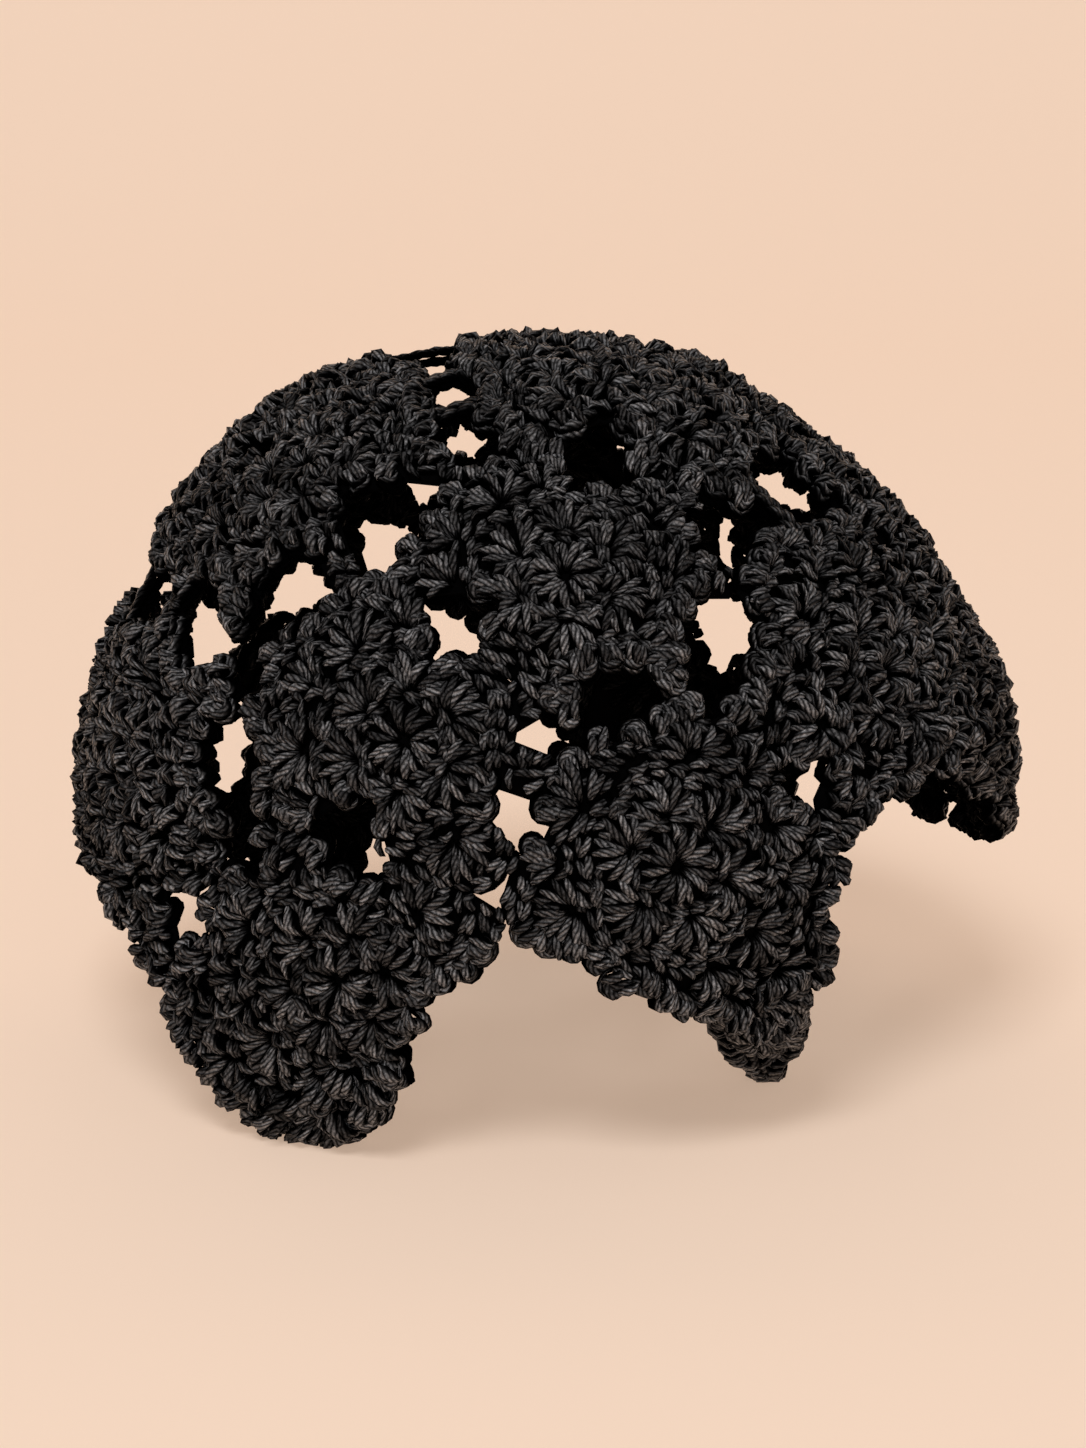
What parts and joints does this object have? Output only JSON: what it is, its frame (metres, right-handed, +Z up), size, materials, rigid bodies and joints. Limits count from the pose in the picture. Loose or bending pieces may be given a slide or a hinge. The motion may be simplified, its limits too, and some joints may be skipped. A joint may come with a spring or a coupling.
{
  "type": "crochet lace beret",
  "caption": "Openwork dome-shaped beret of round crochet flower motifs in thick dark cotton yarn, standing on the motifs of its rim.",
  "frame": {"origin": "on the surface that the hat stands on, below the middle of its box", "axes": "+Z up, +X to the right and +Y to the back, seen from the front"},
  "size_m": [0.2506, 0.247, 0.1869],
  "materials": {
    "yarn": "matte plied cotton yarn, crocheted",
    "chain_yarn": "matte plied cotton yarn, worked as chains"
  },
  "bodies": {
    "root": {"crown_front": "yarn", "crown_back": "yarn", "upper_front": "yarn", "upper_left": "yarn", "upper_right": "yarn", "middle_front": "yarn", "middle_right": "yarn", "side_left": "yarn", "flap_right": "yarn", "leg_front_left": "yarn", "leg_front_right": "yarn", "leg_back_right": "yarn", "leg_back_left": "yarn", "back_left": "yarn", "back_right": "yarn", "back_middle": "yarn", "back_upper_left": "yarn", "left_upper_back": "yarn", "right_upper_back": "yarn", "leg_front_folded": "yarn", "chain_top_back": "chain_yarn", "chain_top_middle": "chain_yarn", "chain_top_front": "chain_yarn", "chain_left_back": "chain_yarn", "chain_left_front": "chain_yarn", "chain_right": "chain_yarn"}
  },
  "joints": []
}
